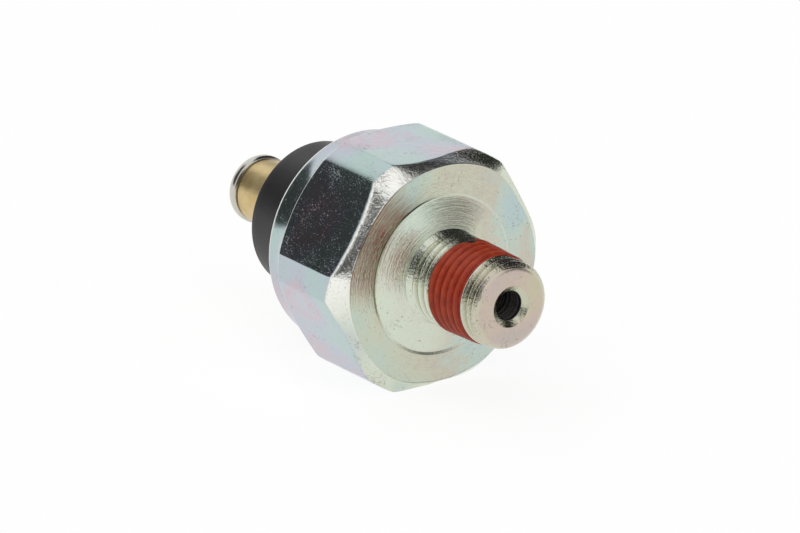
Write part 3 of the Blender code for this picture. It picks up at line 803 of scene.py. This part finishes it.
turned_piece(
    "insulator_moulding",
    [
        (FLANGE_FRONT_X, SKIRT_INNER_R),
        (FLANGE_FRONT_X, FLANGE_R, 0.3),
        (FLANGE_REAR_X, FLANGE_R, 0.3),
        (FLANGE_REAR_X, BOSS_R),
        (BOSS_END_X, BOSS_R, 0.35),
        (BOSS_END_X, POST_R + POST_PLAY, 0.1),
        (COLLAR_REAR_X, POST_R + POST_PLAY),
        (COLLAR_REAR_X, POST_R - 0.2),
        (COLLAR_FRONT_X, POST_R - 0.2),
        (COLLAR_FRONT_X, POST_R + POST_PLAY),
        (CUP_END_X, POST_R + POST_PLAY),
        (CUP_END_X, CUP_R),
        (CUP_START_X, CUP_R),
        (CUP_START_X, SKIRT_INNER_R, 0.3),
    ],
    180,
    black_thermoset(),
    "housing",
    "insulator",
    "black_moulding",
)

# The cap's gasket
# A ring of nitrile rubber between the insulator's flange and the rolled lip, seen only as a thin dark line.
# The seal ring under the diaphragm is of the same rubber.


def nitrile_rubber():
    """Black nitrile rubber with a dusty bloom."""
    made, tree, place = new_material("nitrile_rubber")
    grain = noise(tree, place, 4.0, 4.0)
    colour = tint(tree, grain, [(0.35, "#0e0e0f"), (0.7, "#1a1a1a")])
    rough = remap(tree, grain, 0.0, 1.0, 0.6, 0.85)
    shade(tree, colour, rough, bump(tree, grain, 0.01 * MM))
    return made


def refinish(node, finish):
    """Gives a carried-over solid its own finish."""
    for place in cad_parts[node].material_slots:
        place.material = finish


rubber = nitrile_rubber()
turned_piece(
    "cap_gasket_ring",
    [(-12.5, 8.2), (-12.5, 9.6, 0.1), (-13.5, 9.6, 0.3), (-13.5, 8.15, 0.3), (-12.9, 8.15)],
    120,
    rubber,
    "housing",
    "cap_gasket",
    "rubber",
)
refinish("seal_ring", rubber)

# The terminal post
# Turned brass: a cup inside that holds the spring, and a plain stem outside. It is left as turned, so it has
# fine lines round it and a satin gold shine. The slotted screw in the cup is brass too.

POST_END_X = -31.42
POST_CUP_X = -12.25
POST_CUP_END_X = -18.25
POST_CUP_R = 4.6
POST_BORE_R = 3.6
POST_BORE_X = -17.25
POST_GROOVE_FRONT_X = -19.775
POST_GROOVE_REAR_X = -21.175
POST_GROOVE_R = POST_R - 0.5
SCREW_HOLE_R = 1.75


def turned_brass(name, bright, dull, roughness):
    """Free-cutting brass as turned: lines 0.05 to 0.2 mm apart round the stem, drawn a little coarse so that
    they show, and a light tarnish in clouds."""
    made, tree, place = new_material(name)
    x, y, z = coordinates(tree, place)
    line_place = add(tree, "ShaderNodeCombineXYZ", {"X": x, "Y": off_axis(tree, y, z)})
    lines = noise(tree, line_place, 7.0, 4.0, 0.7, noise_dimensions="2D")
    cloud = noise(tree, place, 0.8, 4.0)
    colour = tint(tree, cloud, [(0.3, dull), (0.65, bright)])
    rough = remap(tree, cloud, 0.0, 1.0, roughness * 0.85, roughness * 1.2)
    shade(tree, colour, rough, bump(tree, lines, 0.02 * MM), {"Metallic": 1.0})
    return made


turned_piece(
    "brass_post",
    [
        (POST_CUP_X, POST_BORE_R),
        (POST_CUP_X, POST_CUP_R, 0.3),
        (POST_CUP_END_X, POST_CUP_R, 0.3),
        (POST_CUP_END_X, POST_R),
        (POST_GROOVE_FRONT_X, POST_R),
        (POST_GROOVE_FRONT_X, POST_GROOVE_R),
        (POST_GROOVE_REAR_X, POST_GROOVE_R),
        (POST_GROOVE_REAR_X, POST_R),
        (POST_END_X, POST_R, 0.12),
        (POST_END_X, SCREW_HOLE_R + 0.3),
        (POST_END_X + 0.3, SCREW_HOLE_R),
        (POST_BORE_X, SCREW_HOLE_R),
        (POST_BORE_X, POST_BORE_R),
    ],
    144,
    turned_brass("brass_as_turned", "#dcc795", "#cbb27c", 0.34),
    "housing",
    "terminal_post",
    "brass",
)
refinish("calibration_screw", turned_brass("brass_screw_slotted", "#dcbc7e", "#c8a566", 0.34))

# The terminal screw
# A pan-head machine screw of plated steel with a cross recess, turned down on the post. Its head is rounded
# over its edge and has a thin dark gap under it.

SCREW_X = -31.5
SCREW_END_X = SCREW_X + 7.0
SCREW_SHANK_R = 1.45
SCREW_HEAD_R = 3.65
SCREW_HEAD_HEIGHT = 1.7
SCREW_HEAD_ROUND = 1.15
SCREW_TOP_R = 2.45
CROSS_ARM = 2.0
CROSS_HALF_WIDTH = 0.425
CROSS_DEPTH = 1.2
CROSS_WALL = 0.16


def screw_grid(angles):
    """Rows of the screw from its shank's end over the head to the middle of the recess. Inside the crown the
    surface drops by a cross: the depth grows from nothing at an arm's wall to full near the middle."""
    side = section(
        [
            (SCREW_END_X, SCREW_SHANK_R - 0.3),
            (SCREW_END_X - 0.3, SCREW_SHANK_R),
            (SCREW_X, SCREW_SHANK_R, 0.05),
            (SCREW_X, SCREW_HEAD_R, 0.3),
            (SCREW_X - SCREW_HEAD_HEIGHT, SCREW_HEAD_R, SCREW_HEAD_ROUND),
            (SCREW_X - SCREW_HEAD_HEIGHT, SCREW_TOP_R),
        ],
        longest=0.7,
        arc_steps=10,
    )
    top_r = np.linspace(SCREW_TOP_R, 0.06, 48)[1:, None]
    y, z = np.abs(top_r * np.cos(angles)), np.abs(top_r * np.sin(angles))
    reach, across = np.maximum(y, z), np.minimum(y, z)
    from_wall = np.minimum(CROSS_HALF_WIDTH - across, (CROSS_ARM - reach) * 0.6)
    wall = np.clip(from_wall / CROSS_WALL, 0, 1)
    depth = CROSS_DEPTH * (1 - 0.45 * reach / CROSS_ARM) * wall * wall * (3 - 2 * wall)
    top_x = SCREW_X - SCREW_HEAD_HEIGHT + depth
    return np.concatenate([spun(side, angles), round_the_axis(top_x, top_r, angles)])


def capped(grid, start, end):
    """The points and faces of a grid whose first row closes on one point and whose last row on another."""
    rows, columns = grid.shape[:2]
    column, ahead = neighbours(columns)
    last_row, pole = (rows - 1) * columns, np.full(columns, rows * columns)
    faces = [
        grid_quads(rows, columns),
        np.stack([pole, ahead, column], -1),
        np.stack([pole + 1, last_row + column, last_row + ahead], -1),
    ]
    return np.concatenate([grid.reshape(-1, 3), [start, end]]), faces


screw_film_stops = [(0.3, "#b9bcae"), (0.45, "#c9c6bd"), (0.55, "#d3c9c6"), (0.7, "#bcc7bf")]
screw_film = {
    "side": screw_film_stops,
    "face": screw_film_stops,
    "nose": [(0.3, "#b9bcae"), (0.7, "#bcc7bf")],
    "edge": ["#c9c6b8", "#d6d2c4"],
    "cone": 0.0,
    "dents": 0.0,
    "ring_depth": 0.004,
    "drift_along_y": 0.0,
    "root": 0.0,
}
screw_rows = screw_grid(np.radians(np.arange(0, 360, 2)))
make_piece(
    "pan_head_screw",
    *capped(screw_rows, [SCREW_END_X, 0, 0], [screw_rows[-1, 0, 0], 0, 0]),
    plated_steel("zinc_plated_screw", screw_film, 0.2, 0.02),
    "housing",
    "terminal_screw",
    "zinc_steel",
)

# The switch inside
# A polyimide film carries the oil's push to a moulded plunger, which lifts a pressed brass cup off a silver
# ring against a small spring. The dished steel plate guides the plunger. None of it shows from outside.

SPRING_X = -10.75
SPRING_LENGTH = 4.3
SPRING_WIRE = 0.5
SPRING_R = 2.9
SPRING_TURNS = 4.5


def drawn_metal(name, bright, dull, roughness):
    """Rolled or drawn metal with faint lines along X and a few clouds."""
    made, tree, place = new_material(name)
    drawn = add(tree, "ShaderNodeMapping", {"Vector": place, "Scale": (0.6, 8.0, 8.0)})
    lines = noise(tree, drawn, 1.0, 4.0)
    colour = tint(tree, lines, [(0.3, dull), (0.7, bright)])
    rough = remap(tree, lines, 0.0, 1.0, roughness * 0.8, roughness * 1.3)
    shade(tree, colour, rough, bump(tree, lines, 0.01 * MM), {"Metallic": 1.0})
    return made


def moulded(name, pale, deep, roughness):
    """A smooth plastic with faint flow clouds."""
    made, tree, place = new_material(name)
    cloud = noise(tree, place, 1.5, 4.0, distortion=1.0)
    colour = tint(tree, cloud, [(0.3, deep), (0.7, pale)])
    rough = remap(tree, cloud, 0.0, 1.0, roughness * 0.8, roughness * 1.2)
    shade(tree, colour, rough, bump(tree, cloud, 0.01 * MM))
    return made


refinish("diaphragm", moulded("amber_polyimide_film", "#c07a22", "#9a5a12", 0.3))
refinish("plunger", moulded("brown_phenolic", "#5a3420", "#43241a", 0.45))
refinish("contact_plate", drawn_metal("cold_rolled_steel", "#bdbdbb", "#a3a3a1", 0.32))
refinish("fixed_contact", drawn_metal("silver_plate", "#e6e4dc", "#d0cdc2", 0.25))
refinish("moving_contact", drawn_metal("pressed_brass", "#dcbc7e", "#c8a566", 0.3))


def spring_wire_grid(sides=12, steps=270):
    """A round wire along a helix: the helix's point plus the wire's radius times the blend of the direction
    away from the axis and the binormal, which is square to both it and the helix's run."""
    share = np.linspace(0, 1, steps)[:, None]
    turn = 2 * np.pi * SPRING_TURNS * share
    climbed = share - 0.25 * np.sin(2 * np.pi * share) / (2 * np.pi)
    x = SPRING_X - SPRING_WIRE / 2 - (SPRING_LENGTH - SPRING_WIRE) * climbed
    outward = np.concatenate([0 * turn, np.cos(turn), np.sin(turn)], -1)
    centre = np.concatenate([x, SPRING_R * np.cos(turn), SPRING_R * np.sin(turn)], -1)
    run = np.gradient(centre, axis=0)
    run = run / np.linalg.norm(run, axis=1, keepdims=True)
    across = np.cross(run, outward)
    around = (np.arange(sides) * 2 * np.pi / sides)[None, :, None]
    blend = np.cos(around) * outward[:, None] + np.sin(around) * across[:, None]
    return centre[:, None] + SPRING_WIRE / 2 * blend


wire = spring_wire_grid()
spring = make_piece(
    "coil_spring",
    *capped(wire, wire[0].mean(0), wire[-1].mean(0)),
    drawn_metal("spring_steel_wire", "#c3bfb4", "#a29d90", 0.28),
    "housing",
    "switch_spring",
    "spring_steel",
    sharp=60.0,
)
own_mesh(spring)

# The studio
# A white paper floor, soft white light all round, and nine dark cards that the bright plate mirrors. They are
# the black patches on its flats, its edge and its nipple.

FLOOR_HALF = 1.5
FLOOR_Z = -FLAT_HALF * MM
FLOOR_SHADE = 0.16
FLOOR_GLOW = 0.905

# (direction from the part, half-angle in degrees, soft edge in degrees, darkness)
CARDS = [
    ((-0.76, -0.56, 0.33), 19.0, 3.0, 0.95),
    ((-0.76, -0.35, 0.55), 14.0, 8.0, 0.94),
    ((0.00, 0.75, 0.66), 27.0, 4.0, 0.97),
    ((-0.45, 0.60, 0.66), 21.0, 4.0, 0.97),
    ((0.38, 0.60, 0.70), 28.0, 6.0, 0.97),
    ((0.05, 0.38, 0.92), 20.0, 5.0, 0.97),
    ((0.56, -0.74, 0.36), 30.0, 5.0, 0.92),
    ((0.93, -0.37, -0.10), 12.0, 6.0, 0.75),
    ((0.74, 0.67, 0.08), 17.0, 3.0, 0.74),
]

floor_mesh = bpy.data.meshes.new("floor")
signs = [(-1, -1), (1, -1), (1, 1), (-1, 1)]
floor_mesh.from_pydata([(FLOOR_HALF * a, FLOOR_HALF * b, FLOOR_Z) for a, b in signs], [], [(0, 1, 2, 3)])
floor = bpy.data.objects.new("floor", floor_mesh)
bpy.context.scene.collection.objects.link(floor)


def seen_directly(tree):
    """1 for what the camera, a mirror or glass sees, and 0 for light on its way to a matt surface."""
    path = add(tree, "ShaderNodeLightPath", out="Is Camera Ray")
    outputs = path.node.outputs
    seen = calc(tree, "MAXIMUM", path, outputs["Is Glossy Ray"])
    return calc(tree, "MAXIMUM", seen, outputs["Is Transmission Ray"])


def paper_floor():
    """White paper, lit so that it melts into the white behind and keeps a faint shadow."""
    made, tree, _ = new_material("white_paper_floor")
    glow = add(tree, "ShaderNodeEmission", {"Color": "#ffffff", "Strength": FLOOR_GLOW})
    shaded = add(tree, "ShaderNodeBsdfDiffuse", {"Color": (FLOOR_SHADE, FLOOR_SHADE, FLOOR_SHADE, 1.0)})
    seen_floor = add(tree, "ShaderNodeAddShader", {0: glow, 1: shaded})
    plain_floor = add(tree, "ShaderNodeBsdfDiffuse", {"Color": "#e6e6e6"})
    floor_shader = add(tree, "ShaderNodeMixShader", {0: seen_directly(tree), 1: plain_floor, 2: seen_floor})
    add(tree, "ShaderNodeOutputMaterial", {"Surface": floor_shader})
    return made


floor_mesh.materials.append(paper_floor())

world = bpy.data.worlds.new("studio")
bpy.context.scene.world = world
world.use_nodes = True
sky = world.node_tree
sky.nodes.clear()
direction = add(sky, "ShaderNodeTexCoord", out="Generated")
light = 1.0
for toward, half, soft, darkness in CARDS:
    unit = Vector(toward).normalized()
    nearness = add(sky, "ShaderNodeVectorMath", {0: direction, 1: unit}, out="Value", operation="DOT_PRODUCT")
    outer, inner = (math.cos(math.radians(half + way * soft / 2)) for way in (1, -1))
    card = remap(sky, nearness, outer, inner, 1.0, 1.0 - darkness, interpolation_type="SMOOTHSTEP")
    light = calc(sky, "MINIMUM", card, light)
light = calc(sky, "MAXIMUM", light, add(sky, "ShaderNodeLightPath", out="Is Camera Ray"))
lit = add(sky, "ShaderNodeBackground", {"Color": "#ffffff", "Strength": light})
add(sky, "ShaderNodeOutputWorld", {"Surface": lit})

# The camera
# A long lens a metre away, slightly turned about its own axis, as fitted to the photograph.

CAMERA_PLACE = Vector((849.679, -636.271, 360.382)) * MM
AZIMUTH = math.radians(53.404)
ELEVATION = math.radians(18.72)
ROLL = math.radians(1.948)
FOCAL_LENGTH = 494.97
SENSOR_WIDTH = 36.0

ca, sa, ce, se = math.cos(AZIMUTH), math.sin(AZIMUTH), math.cos(ELEVATION), math.sin(ELEVATION)
right = Vector((ca, sa, 0.0))
up = Vector((-sa * se, ca * se, ce))
back = Vector((sa * ce, -ca * ce, se))
turned_right = math.cos(ROLL) * right + math.sin(ROLL) * up
turned_up = -math.sin(ROLL) * right + math.cos(ROLL) * up
turn = Matrix((turned_right, turned_up, back)).transposed().to_4x4()
lens = bpy.data.cameras.new("camera")
lens.sensor_width = SENSOR_WIDTH
lens.lens = FOCAL_LENGTH
lens.clip_start = 0.01
lens.clip_end = 10.0
camera = bpy.data.objects.new("camera", lens)
camera.matrix_world = Matrix.Translation(CAMERA_PLACE) @ turn
bpy.context.scene.collection.objects.link(camera)
bpy.context.scene.camera = camera
bpy.context.scene.view_settings.view_transform = "Standard"
